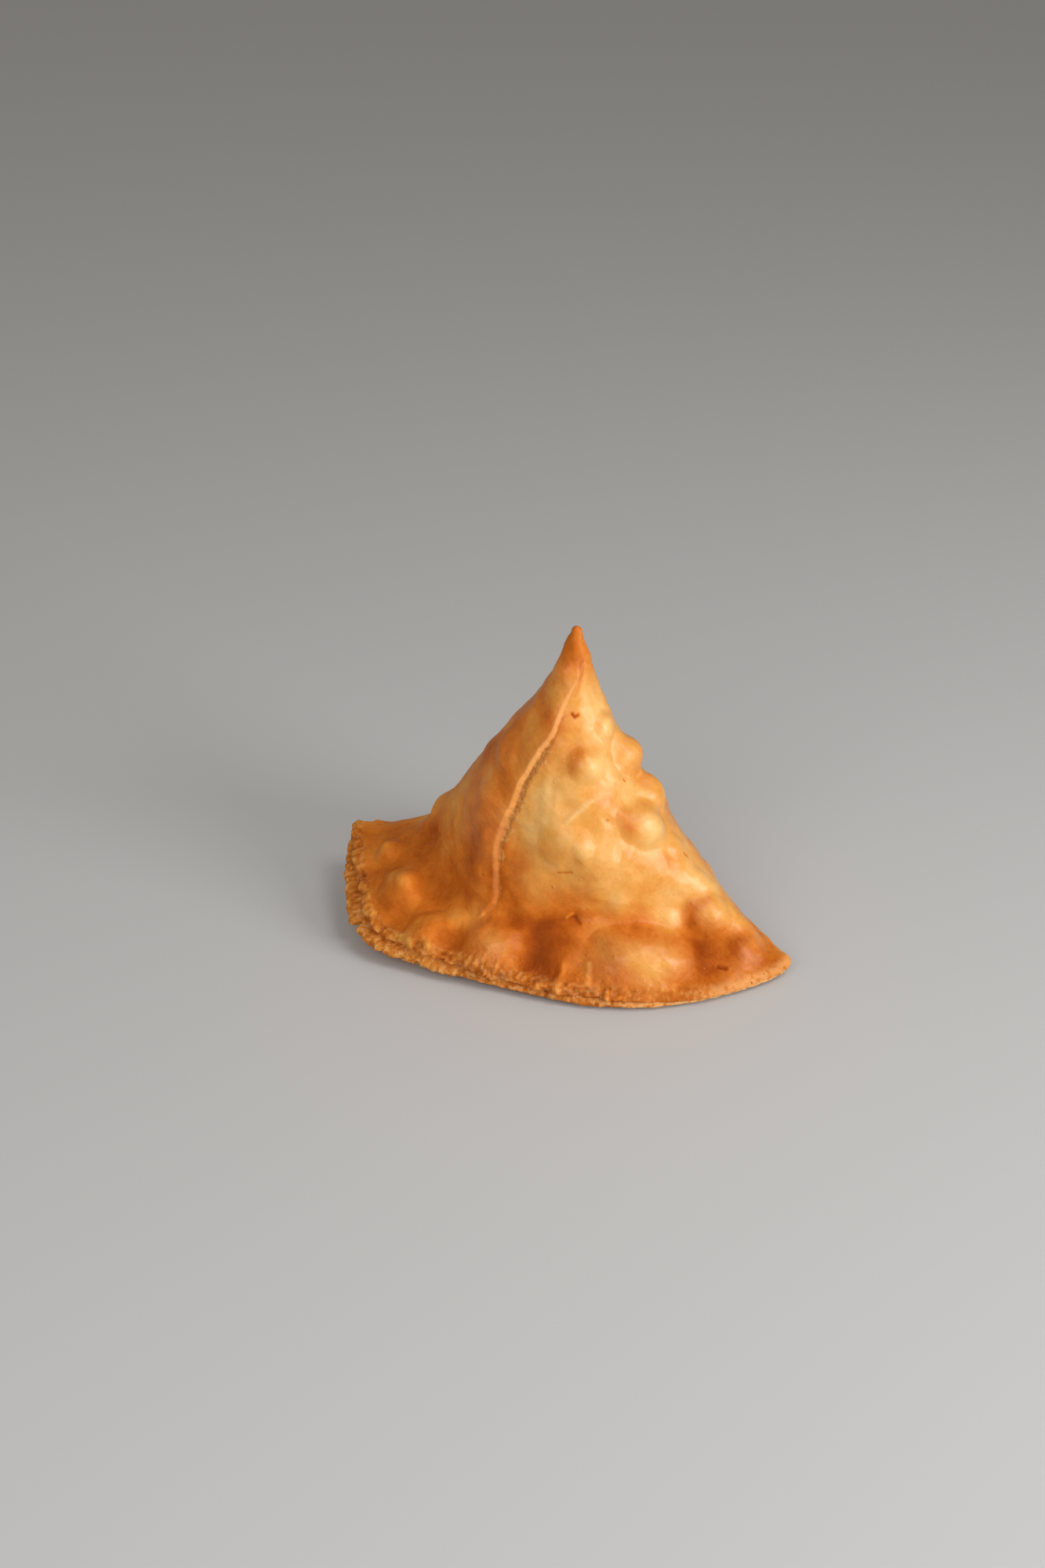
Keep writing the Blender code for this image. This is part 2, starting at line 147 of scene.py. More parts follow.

# Where the crust is darker (above 0) or paler (below 0) than the rest: place, radius, amount.
# Besides the dough's own tone, some paint highlights onto blisters and some paint shade into dips.
tonesAndPaintedLight = [
    ((-5.0, 17.0, 44.0), 8.5, -0.6),
    ((-7.0, 14.6, 37.0), 4.0, -0.1),
    ((-4.0, 12.8, 30.0), 5.0, -0.35),
    ((5.0, 24.0, 63.0), 6.5, -0.55),
    # painted highlight on the lit right side of the blister near the point
    ((6.6, 17.6, 51.2), 3.2, -0.6),
    ((12.0, 20.0, 46.0), 6.0, -0.4),
    ((19.5, 17.5, 36.0), 3.6, -0.55),
    # painted highlight: a glint on the small blister beside the seam
    ((3.6, 11.4, 33.8), 2.4, -0.75),
    ((9.5, 12.4, 28.0), 7.0, -0.3),
    ((24.0, 14.0, 20.0), 6.0, -0.35),
    # painted highlights on two small bumps of the belly
    ((23.0, 13.0, 15.6), 3.0, -0.5),
    ((11.2, 11.8, 20.0), 3.0, -0.5),
    ((27.4, 13.6, 16.2), 2.6, 0.3),
    # painted highlight: the broad sheen on the big low blister
    ((19.0, 3.5, 10.4), 5.5, -0.85),
    ((-16.0, 8.0, 11.8), 4.5, -0.35),
    ((-25.2, 17.0, 12.2), 3.0, -0.1),
    ((-22.5, 35.3, 39.9), 8.0, -0.1),
    ((-40.5, 31.0, 16.0), 3.5, 0.15),
    ((-41.4, 40.4, 17.0), 2.4, -0.12),
    ((-36.0, 26.4, 16.0), 3.4, -0.08),
    ((-31.0, 16.5, 12.5), 4.0, -0.15),
    ((-0.5, 26.5, 74.0), 3.5, 0.55),
    ((-17.5, 18.5, 36.0), 7.0, 0.2),
    ((-19.5, 17.5, 24.0), 8.0, 0.15),
    ((-15.8, 15.2, 21.0), 3.0, 0.5),
    ((-32.0, 39.0, 24.0), 6.0, 0.75),
    ((-34.0, 34.0, 18.0), 5.0, 0.6),
    ((-29.0, 28.5, 18.0), 5.5, -0.15),
    ((-40.0, 22.0, 10.5), 5.5, 0.15),
    ((-43.5, 34.0, 13.5), 5.0, 0.2),
    ((-27.0, 13.0, 8.0), 5.0, 0.35),
    ((-25.0, 18.0, 12.0), 7.0, 0.3),
    ((-36.0, 26.0, 12.0), 15.0, 0.25),
    # painted shade in the valley between the blisters at the right
    ((44.5, 13.5, 6.0), 5.0, 0.6),
    ((38.6, 12.0, 8.0), 4.0, 0.35),
    ((26.0, 2.5, 3.0), 6.0, 0.5),
    ((0.0, 1.0, 4.0), 9.0, 0.3),
    ((2.5, 6.0, 10.8), 5.0, 0.22),
    # painted shade below the blister at the right
    ((31.0, 10.0, 8.3), 5.0, 0.3),
    ((-12.2, 13.7, 14.6), 4.0, 0.25),
    ((-12.5, 14.5, 19.0), 4.5, 0.25),
    ((12.3, 15.5, 38.0), 3.0, 0.4),
    ((-3.6, 12.4, 34.2), 4.0, 0.1),
    ((-1.0, 12.2, 28.0), 4.5, -0.2),
    # painted shade left of the big low blister
    ((-6.5, 7.8, 9.5), 5.5, 0.6),
    ((-12.0, 4.5, 4.5), 4.0, 0.4),
    ((-18.0, 7.5, 5.0), 4.0, 0.4),
    ((25.0, 1.5, 4.0), 5.0, 0.55),
    ((34.0, 7.0, 5.0), 5.5, 0.35),
    ((42.5, 11.0, 4.5), 4.0, 0.25),
    ((20.0, 14.8, 18.5), 5.0, -0.4),
    ((27.5, 17.5, 21.5), 6.0, -0.4),
    ((41.5, 17.0, 9.5), 4.0, -0.3),
    ((7.2, 21.2, 55.0), 4.5, -0.7),
    ((2.0, 16.5, 47.5), 5.0, -0.4),
    ((18.0, 24.0, 44.0), 4.0, -0.3),
    ((-14.0, 20.5, 43.0), 5.5, 0.35),
    ((-21.5, 21.0, 38.5), 5.0, 0.35),
    ((-20.0, 27.0, 47.0), 5.5, -0.55),
    ((-4.5, 24.5, 66.0), 3.5, -0.25),
    ((-9.0, 27.0, 58.0), 8.0, 0.2),
    ((-42.0, 37.0, 16.0), 7.0, 0.15),
    ((-17.5, 14.0, 16.0), 3.5, 0.45),
    ((-4.3, 12.3, 14.8), 3.5, 0.25),
    ((38.0, 16.0, 10.0), 7.0, -0.25),
    ((49.0, 15.4, 4.0), 5.0, -0.2),
    ((20.0, 3.0, 7.5), 5.0, -0.3),
    ((-32.8, 31.5, 19.0), 3.5, 0.5),
    ((0.5, 8.0, 12.0), 4.5, 0.35),
    ((4.5, 12.8, 17.5), 3.0, -0.3),
    ((24.5, 4.5, 9.0), 4.0, -0.3),
    ((43.0, 15.5, 8.0), 3.5, -0.4),
    ((4.0, 50.0, 45.0), 14.0, -0.3),
    ((20.0, 50.0, 30.0), 9.0, 0.35),
    ((-15.0, 56.0, 32.0), 10.0, 0.3),
    ((28.0, 38.0, 12.0), 6.0, 0.5),
    ((2.0, 58.0, 14.0), 9.0, 0.5),
]

# The crack where the left layer laps over the right one: X and Z from its foot to the point.
seam = {
    "line": [(-20.8, 11.8), (-18.1, 14.2), (-15.7, 17.2), (-15.3, 21.9), (-14.7, 29.0), (-13.6, 34.5),
             (-11.8, 39.9), (-9.5, 45.9), (-5.7, 53.0), (-3.1, 57.0), (-0.4, 63.7), (1.7, 67.7), (3.0, 71.0),
             (4.0, 74.0)],
    "lap": 1.1,
    "face": 0.5,            # width of the cut edge of the dough
    "gap": (0.4, 1.1),      # width of the crumbly crack beside it, shut and open
    "gapDepth": 0.4,
    "fade": 13.0,
}

# Ridges (above 0), and valleys and cracks (below 0): their points, width, height and tone.
# The darker tone along valleys and cracks is partly browning and partly painted shade.
creases = [
    # painted shade in the valley left of the big low blister
    ([(-4.4, 10.5, 12.0), (-5.0, 8.5, 10.2), (-5.6, 5.0, 7.0)], 4.6, -0.6, 0.85),
    # painted shade along the valley below the blister at the right
    ([(26.4, 14.0, 16.4), (27.4, 12.8, 13.0), (29.6, 11.0, 9.6), (31.6, 8.4, 6.6)], 3.6, -0.7, 0.45),
    ([(31.0, 12.0, 10.0), (35.5, 13.6, 10.4), (40.0, 15.6, 9.6)], 3.0, -0.2, 0.3),
    ([(-12.0, 13.6, 14.3), (-8.0, 13.0, 14.3), (-4.3, 12.3, 14.8), (1.7, 12.5, 16.2)], 1.6, -0.4, 0.3),
    ([(1.7, 12.5, 16.2), (6.9, 12.3, 16.6), (13.0, 10.9, 15.5), (18.0, 10.0, 14.8)], 1.6, -0.3, 0.25),
    ([(-26.0, 13.6, 9.8), (-25.4, 11.4, 7.6)], 2.4, -0.5, 0.1),
    ([(-16.2, 17.2, 35.0), (-17.0, 15.6, 27.0), (-18.0, 15.4, 18.5)], 1.7, 0.0, 0.35),
    ([(4.7, 16.0, 43.6), (2.3, 15.0, 41.6), (-0.1, 14.4, 39.6)], 0.6, 0.22, -0.6),
    ([(-26.0, 30.0, 32.0), (-25.6, 26.0, 24.0), (-25.2, 21.0, 16.5)], 2.0, 0.5, -0.15),
    ([(-21.5, 26.0, 36.0), (-21.0, 22.5, 26.0), (-20.5, 19.5, 18.0)], 2.2, -0.35, 0.25),
    ([(-0.9, 5.2, 8.6), (-1.4, 3.6, 7.2), (-2.1, 2.1, 5.8)], 0.9, 0.45, -0.3),
    ([(4.7, 4.4, 9.6), (4.6, 2.8, 7.6), (4.5, 1.7, 6.2)], 0.8, 0.40, -0.3),
    ([(-2.3, 12.6, 27.2), (-0.8, 12.3, 27.5), (0.8, 12.0, 27.7)], 0.25, -0.2, 0.8),
    ([(-0.2, 12.7, 15.8), (0.5, 12.7, 16.5), (1.2, 12.6, 16.7)], 0.35, 0.35, -0.5),
    ([(1.5, 12.6, 16.1), (2.2, 12.2, 15.6), (2.9, 11.9, 15.1)], 0.35, -0.25, 0.45),
    ([(9.0, 22.3, 52.2), (10.8, 22.5, 49.5), (12.5, 22.7, 47.2)], 1.5, -0.35, 0.3),
    ([(14.0, 24.0, 48.5), (16.5, 24.5, 45.0), (19.5, 25.0, 41.0)], 1.5, -0.35, 0.25),
    ([(24.8, 21.8, 27.0), (25.6, 22.0, 26.2)], 0.35, -0.3, 0.9),
    ([(0.6, 22.4, 61.6), (1.2, 22.3, 61.2), (2.0, 22.4, 61.3)], 0.4, -0.15, 1.4),
    ([(2.9, 25.6, 72.4), (2.6, 25.0, 70.0), (1.9, 24.3, 67.4), (1.0, 23.7, 65.4)], 0.45, -0.25, 0.2),
    ([(12.5, 21.7, 46.2), (12.7, 21.7, 46.0)], 0.3, -0.2, 1.0),
    ([(8.4, 15.4, 39.6), (8.7, 15.4, 39.4)], 0.3, -0.2, 0.8),
    ([(34.0, 9.4, 5.6), (35.5, 9.6, 5.3)], 0.45, -0.3, 0.8),
]


def periodicCurve(values, at, ease=None):
    # values at the stations, read between them on one smooth closed curve
    values = np.array(values, float).reshape(len(values), -1)
    count = len(values)
    slope = (np.roll(values, -1, 0) - np.roll(values, 1, 0)) / 2
    if ease is not None:
        slope *= np.array(ease)[:, None]
    here = np.floor(at).astype(int) % count
    after = (here + 1) % count
    t = (at % 1.0)[:, None]
    return ((2 * t**3 - 3 * t**2 + 1) * values[here] + (t**3 - 2 * t**2 + t) * slope[here]
            + (3 * t**2 - 2 * t**3) * values[after] + (t**3 - t**2) * slope[after])


def smoothCurve(knots, values, at):
    # a smooth curve through values of any shape, one for each rising knot
    knots = np.array(knots, float)
    values = np.array(values, float)
    slope = np.gradient(values, knots, axis=0)
    here = np.clip(np.searchsorted(knots, at, side="right") - 1, 0, len(knots) - 2)
    shape = np.shape(at) + (1,) * (values.ndim - 1)
    gap = (knots[here + 1] - knots[here]).reshape(shape)
    t = (at - knots[here]).reshape(shape) / gap
    return ((2 * t**3 - 3 * t**2 + 1) * values[here] + (t**3 - 2 * t**2 + t) * gap * slope[here]
            + (3 * t**2 - 2 * t**3) * values[here + 1] + (t**3 - t**2) * gap * slope[here + 1])


def unit(vectors):
    return vectors / np.maximum(np.linalg.norm(vectors, axis=-1, keepdims=True), 1e-9)


def softStep(t):
    t = np.clip(t, 0, 1)
    return t * t * (3 - 2 * t)


def noiseAt(points, size, octaves=2, offset=0.0):
    # lumpy noise from about -1 to 1, its lumps about this many millimetres across
    flat = (points.reshape(-1, 3) / size + offset + crust["seed"]).tolist()
    values = [noise.fractal(p, 0.6, 2.1, octaves, noise_basis="PERLIN_ORIGINAL") for p in flat]
    return np.array(values).reshape(points.shape[:-1]) * 1.6


def noiseAlong(length, pitch, offset=0.0):
    return np.array([noise.noise((v / pitch, offset, crust["seed"])) for v in length]) * 1.8


def lobes(length, pitch, offset):
    # rounded teeth with sharp nicks between them, uneven in pitch and depth
    warped = length + pitch * 0.9 * noiseAlong(length, pitch * 2.1, offset)
    tooth = np.abs(np.sin(warped * math.pi / pitch)) - 0.6
    return tooth * (0.7 + 0.9 * noiseAlong(length, pitch * 2.7, offset + 7.0)).clip(0.1, 1.5)


def teethRound(length):
    # how far the teeth of the upper and the lower layer stand out
    pitch, depth = crust["upperTeeth"]
    upper = depth * lobes(length, pitch, 1.0) + 0.45 * noiseAlong(length, 8.0, 3.0)
    pitch, depth = crust["lowerTeeth"]
    lower = depth * lobes(length, pitch, 5.0) + 0.5 * noiseAlong(length, 9.0, 9.0)
    return upper, lower


def lengthNear(edge, length, place):
    # distance along the edge from the place on it nearest to this one
    return length - length[np.linalg.norm(edge[:, :2] - np.array(place), axis=1).argmin()]


def stationColumn(part):
    return [station[stationParts.index(part)] for station in stations]


def linesRound():
    # station numbers at steps that are short along the pinched edge and longer behind
    fine = np.linspace(0, len(stations), 6001)
    line = periodicCurve(stationColumn("edge"), fine, stationColumn("ease"))
    pinch = periodicCurve(stationColumn("pinch"), fine)[1:, 0].clip(0, 1)
    pieces = np.linalg.norm(np.diff(line, axis=0), axis=1)
    run = np.concatenate([[0], np.cumsum(pieces * (1 + 1.5 * pinch))])
    at = np.interp(np.arange(crust["lines"]) * run[-1] / crust["lines"], run, fine)
    length = np.interp(at, fine, np.concatenate([[0], np.cumsum(pieces)]))
    return at, length


def sectionRings(turn):
    rings = []
    side, face = np.cos(turn), np.sin(turn)
    for height, left, right, front, back, leftRidge, rightRidge, sharp in sections:
        spine = leftRidge + (rightRidge - leftRidge) * (side + 1) / 2
        middle = (leftRidge + rightRidge) / 2
        reach = np.where(face < 0, middle - front, back - middle)
        x = (left + right) / 2 + (right - left) / 2 * side
        y = spine + np.sign(face) * reach * np.abs(face) ** sharp
        rings.append(np.stack([x, y, np.full_like(x, height)], 1))
    return rings


# The lip's profile from top to bottom: outwards in millimetres, upwards in half thicknesses, and its
# shares of the step and of the teeth.
lipProfile = [
    (-5.2, 1.02, 1, 0), (-3.4, 1.04, 1, 0.15), (-1.9, 1.02, 1, 0.45), (-0.9, 0.92, 1, 0.9),
    (-0.35, 0.72, 1, 1), (-0.1, 0.48, 1, 1), (-0.35, 0.26, 1, 0.8), (-1.0, 0.13, 1, 0.4),
    (-1.35, 0.03, 1, 0.1), (-1.05, -0.03, 0.72, 0.0), (-0.75, -0.08, 0.35, 0.1), (-0.35, -0.2, 0.05, 0.8),
    (0.0, -0.45, 0, 1), (-0.1, -0.72, 0, 1), (-0.6, -0.93, 0, 0.7), (-1.8, -1.02, 0, 0.3),
    (-5.2, -1.0, 0, 0),
]


def lipRings(edge, middle, half, pinch, step, length):
    # the lip: over the upper layer, into the split, out over the lower layer and under
    out = edge - middle
    out[:, 2:] *= pinch
    out = unit(out)
    up = unit(np.array([0, 0, 1.0]) - out * out[:, 2:])
    room = np.linalg.norm(edge - middle, axis=1, keepdims=True)
    profile = np.array(lipProfile)
    knots = np.concatenate([[0], np.cumsum(np.hypot(np.diff(profile[:, 0]), 2.3 * np.diff(profile[:, 1])))])
    profile = smoothCurve(knots, profile, np.linspace(0, knots[-1], crust["lipRings"]))
    upper, lower = teethRound(length)
    # the teeth are deep along the front, and shallow towards the corners
    deep = softStep((edge[:, 0] + 34) / 10) * softStep((12 - edge[:, 0]) / 9)
    upper = upper * (0.3 + 0.7 * deep)
    lower = lower * (0.3 + 0.7 * softStep((-30 - edge[:, 0]) / 10))
    nick, drip = (lengthNear(edge, length, crust[name]) for name in ("nick", "drip"))
    ridge = crust["fingers"] * (deep * upper)[:, None]
    ridgeLength = 0.8 + 1.1 * (step / 1.5).clip(0, 1)
    (nickDepth, nickWidth), (dripDepth, dripWidth) = crust["nickSize"], crust["dripSize"]
    lower = lower - nickDepth * np.exp(-(nick / nickWidth)**2)
    lower = lower + 0.7 * np.exp(-((nick - 2.4) / 1.6)**2)     # the lobe beside the nick
    rings = []
    around = length[-1] + length[1]
    for (x, z, setBack, tooth), fold in zip(profile, np.linspace(1, -1, len(profile))):
        wander = length + 1.1 * noiseAlong(length, 2.6, 20 + 3.2 * fold)
        teeth = np.interp(wander, length, upper if fold > 0.08 else lower, period=around)[:, None]
        split = np.exp(-((fold - 0.05) / 0.2)**2) * (1 - (step / 1.4).clip(0.1, 1))
        reach = pinch * (x + teeth * tooth - setBack * step + 1.35 * split)
        reach = np.maximum(reach, -0.6 * room) - (1 - pinch) * 1.5 * min(fold, 0)**2
        rise = (pinch * z + (1 - pinch) * fold) * half
        rise = rise + pinch * ridge * np.exp(-((x + 0.8) / ridgeLength)**2) * max(fold, 0)**0.4
        rise = rise - max(-fold, 0) * dripDepth * np.exp(-(drip / dripWidth)**2)[:, None]
        rings.append(edge + out * reach + up * rise)
    return rings


def plainSamosa(at, length, turn):
    # the samosa before its seam and blisters, as rings from the point down to the middle of the base
    edge = periodicCurve(stationColumn("edge"), at, stationColumn("ease"))
    names = ("crease", "under", "foot", "pinch", "half", "step")
    crease, under, foot, pinch, half, step = (periodicCurve(stationColumn(name), at) for name in names)
    foot = np.concatenate([foot, np.zeros((len(foot), 1))], 1)
    pinch, step = pinch.clip(0, 1), step.clip(0, None)
    lip = lipRings(edge, (crease + under) / 2, half, pinch, step, length)

    point = np.array(crust["point"])
    rings = sectionRings(turn)
    cap = []
    for bend in np.linspace(0, math.pi / 2, crust["capRings"])[:-1]:
        share = np.array([math.sin(bend), math.sin(bend), 1 - math.cos(bend)])
        cap.append(point + (rings[0] - point) * share)
    guides = np.array([*rings, crease])
    knots = np.concatenate([[0], np.cumsum(np.linalg.norm(np.diff(guides, axis=0), axis=2).mean(1))])
    pouch = smoothCurve(knots, guides, knots[-1] * np.linspace(0, 1, crust["pouchRings"]))

    band = np.linspace(0, 1, crust["bandRings"])[1:-1]
    above = [crease * (1 - t) + lip[0] * t for t in band]
    below = [lip[-1] * (1 - t) + under * t for t in np.linspace(0, 1, crust["underRings"])[1:]]
    centre = np.array([*crust["baseCentre"], 0.0])
    base = [foot * (1 - t) + centre * t for t in np.linspace(0, 1, crust["baseRings"])]
    parts = {"cap": len(cap), "pouch": len(pouch), "band": len(above), "lip": len(lip)}
    whole = np.array([*cap, *pouch, *above, *lip, *below, *base])
    creaseRow = len(cap) + len(pouch)
    soft = 1 - (1 - softStep((crease[:, 0] - 1) / 9)) * softStep((crease[:, 0] + 30) / 10) * pinch[:, 0] * 0.8
    whole = softened(whole, creaseRow, soft)
    return softened(whole, creaseRow + len(above), np.ones(len(soft))), parts, pinch[:, 0]


def softened(rings, row, share):
    # a fold along one row, rounded off by each line's share
    rows = np.arange(row - 34, row + 22)
    reach = 9
    weights = np.exp(-(np.arange(-reach, reach + 1) / 5.0)**2)
    weights /= weights.sum()
    done = rings.copy()
    for _ in range(3):
        blurred = sum(w * done[rows + k] for w, k in zip(weights, range(-reach, reach + 1)))
        near = np.exp(-((rows - row) / 10.0)**2)[:, None, None] * share[None, :, None]
        done[rows] += (blurred - done[rows]) * near
    return done


def outwardFrom(rings, rounds):
    # the direction out of the surface, smoothed so that a blister swells evenly
    down = np.gradient(rings, axis=0)
    along = np.roll(rings, -1, 1) - np.roll(rings, 1, 1)
    out = unit(np.cross(along, down))
    for reach in rounds:
        beside = np.roll(out, reach, 1) + np.roll(out, -reach, 1)
        padded = np.concatenate([out[:1]] * reach + [out] + [out[-1:]] * reach)
        out = unit(2 * out + beside + padded[:-2 * reach] + padded[2 * reach:])
    return out


def seamDistance(rings, near):
    # signed distance from the seam in the front view (left of it above 0), and how far up the seam
    line = np.array(seam["line"])
    knots = np.concatenate([[0], np.cumsum(np.linalg.norm(np.diff(line, axis=0), axis=1))])
    fine = smoothCurve(knots, line, np.linspace(0, knots[-1], 240))
    away = np.full(rings.shape[:2], 99.0)
    up = np.zeros(rings.shape[:2])
    chosen = rings[near][:, [0, 2]]
    gaps = np.linalg.norm(chosen[:, None] - fine[None], axis=2)
    index = gaps.argmin(1)
    tangent = unit(np.gradient(fine, axis=0))[index]
    offset = chosen - fine[index]
    along = (offset * tangent).sum(1)
    left = tangent[:, 0] * offset[:, 1] - tangent[:, 1] * offset[:, 0]
    beyond = (index == 0) & (along < 0) | (index == len(fine) - 1) & (along > 0)
    away[near] = np.where(beyond, np.sign(left) * gaps.min(1), left)
    up[near] = index / (len(fine) - 1) + np.clip(along, -0.3, 0.3) / knots[-1]
    return away, up


def strokeDistance(points, line):
    line = [points[np.linalg.norm(points - np.array(p), axis=1).argmin()] for p in line]
    best = np.full(len(points), 99.0)
    for a, b in zip(np.array(line[:-1]), np.array(line[1:])):
        t = np.clip(((points - a) @ (b - a)) / ((b - a) @ (b - a)), 0, 1)
        best = np.minimum(best, np.linalg.norm(points - a - t[:, None] * (b - a), axis=1))
    return best


def wrapped(name, rings, masks):
    # a flat grid wrapped round, its ends merged and its first and last rows drawn to a point
    lines = rings.shape[1]
    bpy.ops.mesh.primitive_grid_add(x_subdivisions=lines, y_subdivisions=len(rings) - 1, size=0.1,
                                    calc_uvs=False)
    piece = bpy.context.active_object
    piece.name = piece.data.name = name
    piece.data.vertices.foreach_set("co", np.concatenate([rings, rings[:, :1]], 1).ravel())
    for label, mask in masks.items():
        layer = piece.data.attributes.new(label, "FLOAT", "POINT")
        layer.data.foreach_set("value", np.concatenate([mask, mask[:, :1]], 1).astype(np.float32).ravel())
    piece.data.update()
    bpy.ops.object.mode_set(mode="EDIT")
    bpy.ops.mesh.select_all(action="SELECT")
    bpy.ops.mesh.remove_doubles(threshold=1e-7)
    bpy.ops.mesh.normals_make_consistent(inside=False)
    bpy.ops.object.mode_set(mode="OBJECT")
    return piece


# How brown and how oily the crust is, and the shade and light painted into its tone:
# tone is browner above 0 and paler below it.
browningAndPaintedLight = {
    "patches": 0.35,              # strength of the slow changes of tone
    "left": 0.12,                 # the whole left side
    "rightLow": 0.24,             # the right side below the belly's crease, and above it
    "rightHigh": -0.24,
    # painted shade: the side of each blister that faces this way is darker
    "blisterShadeSide": (-0.88, 0.0, 0.47),    # the way that the browner sides of blisters face
    # painted light: the swollen tops of the blisters are paler
    "blisterTopsPaintedLight": -0.15,
    "edgeNubs": -0.6,             # the lumps of the crumbled edge
    "rim": (1.7, 0.6, 1.8, 0.15),         # at the right the lower layer paler and the upper one browner,
                                          # the right corner paler, and the left browner
    "oil": 0.50,                  # the skin's share of oil, and what is added for tone and blisters
    "oilOnBrown": -0.85,
    "oilOnPale": 0.4,
    "oilOnBlisters": 0.5,
    "oilSides": (0.12, 0.88, 0.4),        # share of it at the left, and more to the middle and the right
}


def lipMasks(plain, parts, pinch):
    # the pinched lip, its upper and its lower layer, and how crumbly its edge is
    x = plain[..., 0]
    row = np.arange(len(plain))[:, None]
    bandStart = parts["cap"] + parts["pouch"]
    lipStart = bandStart + parts["band"]
    lip = parts["lip"]
    aboveUnder = row < lipStart + lip
    onLip = softStep((row - bandStart - parts["band"] * 0.8) / (parts["band"] * 0.2)) * aboveUnder * pinch
    lower = softStep((row - lipStart - 0.42 * lip) / (0.1 * lip)) * pinch
    upper = softStep((row - lipStart - 0.14 * lip) / (0.09 * lip)) * (1 - lower) * pinch
    upper = upper * softStep((18 - x) / 10) * aboveUnder
    rimStart = 0.10 + 0.06 * softStep((x - 20) / 15)
    rim = onLip * softStep((row - lipStart - rimStart * lip) / (0.12 * lip)) * (0.55 + 0.45 * lower)
    return onLip, upper, lower, rim * (1 + 0.25 * softStep((x - 12) / 18) * (0.5 + 0.5 * lower))


def raiseBlisters(plain, lift, tone):
    # adds the blisters and the painted shade on one side of each, and gives how far each place is swollen
    swell = np.zeros(plain.shape[:2])
    shadedWay = unit(np.array(browningAndPaintedLight["blisterShadeSide"]))
    wobble = noiseAt(plain, 9.0, 2, 3.0)
    for centre, radius, height, way, stretch, paintedShade in blisters:
        offset = plain - np.array(centre)
        nearest = np.unravel_index((offset**2).sum(-1).argmin(), offset.shape[:2])
        offset = plain - plain[nearest]
        run = offset @ unit(np.array(way, float))
        apart = np.sqrt(np.maximum((offset**2).sum(-1) - run**2 * (1 - 1 / stretch**2), 0)) / radius
        apart = apart * (1 + 0.12 * wobble)
        dome = (1 - apart**2).clip(0, None)**1.5
        lift += height * dome
        side = offset @ shadedWay / radius
        # painted shade: a darker crescent on the side of each blister away from the key lamp
        tone += paintedShade * softStep((side + 0.15) / 0.8) * np.exp(-((apart - 0.62) / 0.30)**2)
        if height > 0:
            swell = np.maximum(swell, dome * min(1, height / 2.5))
    return swell


def lapSeam(plain, turn, lift, crumb):
    # lifts the left layer over the right one, and gives the masks of its cut edge and of the gap
    front = np.sin(turn)[None]
    near = (plain[..., 2] > 9) & (front < -0.05) & (plain[..., 0] < 12)
    away, up = seamDistance(plain, near)
    away = away - seam["face"] + 0.09 * crumb * softStep((0.9 - up) * 4)
    ends = softStep(up / 0.1) * softStep((1 - up) / 0.12) * softStep((-front - 0.05) / 0.4)
    ends = ends * softStep((plain[..., 2] - 9) / 3) * near
    parted = softStep((up - 0.2) / 0.15) * softStep((0.76 - up) / 0.12)
    shut = softStep((0.80 - up) / 0.12)     # near the point the two layers are one
    face, gap = seam["face"], seam["gap"][0] + (seam["gap"][1] - seam["gap"][0]) * parted
    overlap = seam["lap"] * softStep((away + face) / (face + 0.05))
    lift += overlap * np.exp(-(away.clip(0) / seam["fade"])**2) * ends
    underFace = softStep((-face + 0.1 - away) / 0.3)
    groove = softStep((away + face + gap) / (0.8 * gap)) * underFace
    lift -= groove * ends * shut * (seam["gapDepth"] * (0.5 + 0.35 * parted) + 0.14 * parted * crumb)
    lift -= 0.3 * np.exp(-((away + 4.5) / 2.5)**2) * ends     # the right layer dips beside it
    torn = softStep((away + face + gap * (1.3 + 0.5 * crumb)) / (0.9 * gap)) * underFace
    gapMask = torn * ends * shut * (0.45 + 0.55 * parted)
    faceMask = softStep((away + face + 0.05) / 0.25) * softStep((0.5 - away) / 1.2) * ends
    faceMask = faceMask * (0.20 + 0.33 * softStep((up - 0.05) / 0.3) + 0.45 * softStep((up - 0.5) / 0.2))
    return faceMask, gapMask


def roughen(plain, lift, tone, crumb, onLip, upperLip, lowerLip):
    # adds the dough's lumps and ripples, and the crumbled edge, which is calmer towards both corners
    x = plain[..., 0]
    lift += crust["unevenness"] * (noiseAt(plain, 11.0, 2, 21.0) + 0.6 * noiseAt(plain, 5.0, 2, 25.0))
    lift += crust["ripple"] * noiseAt(plain, 2.6, 2, 31.0)
    calm = (1 - 0.5 * softStep((x - 14) / 14)) * (1 - 0.6 * softStep((-x - 32) / 10))
    fine, coarse = (0.08 + 0.08 * lowerLip) * crumb, (0.05 + 0.15 * lowerLip) * noiseAt(plain, 2.2, 2, 61.0)
    lift += onLip * calm * (fine + coarse)
    centre, radius = crust["tornEdge"]
    torn = onLip * lowerLip * np.exp(-(((plain - np.array(centre))**2).sum(-1)) / radius**2)
    nubs = noiseAt(plain, 2.3, 2, 71.0)
    for mask, height in ((upperLip, 0.35), (torn, 0.7)):
        lift += height * mask * nubs
        tone += browningAndPaintedLight["edgeNubs"] * mask * nubs


def addCreases(plain, lift, tone):
    for line, width, height, shade in creases:
        close = np.linalg.norm(plain - np.array(line).mean(0), axis=2) < 20
        mark = np.exp(-(strokeDistance(plain[close], line) / width)**2)
        lift[close] += height * mark
        tone[close] += shade * mark


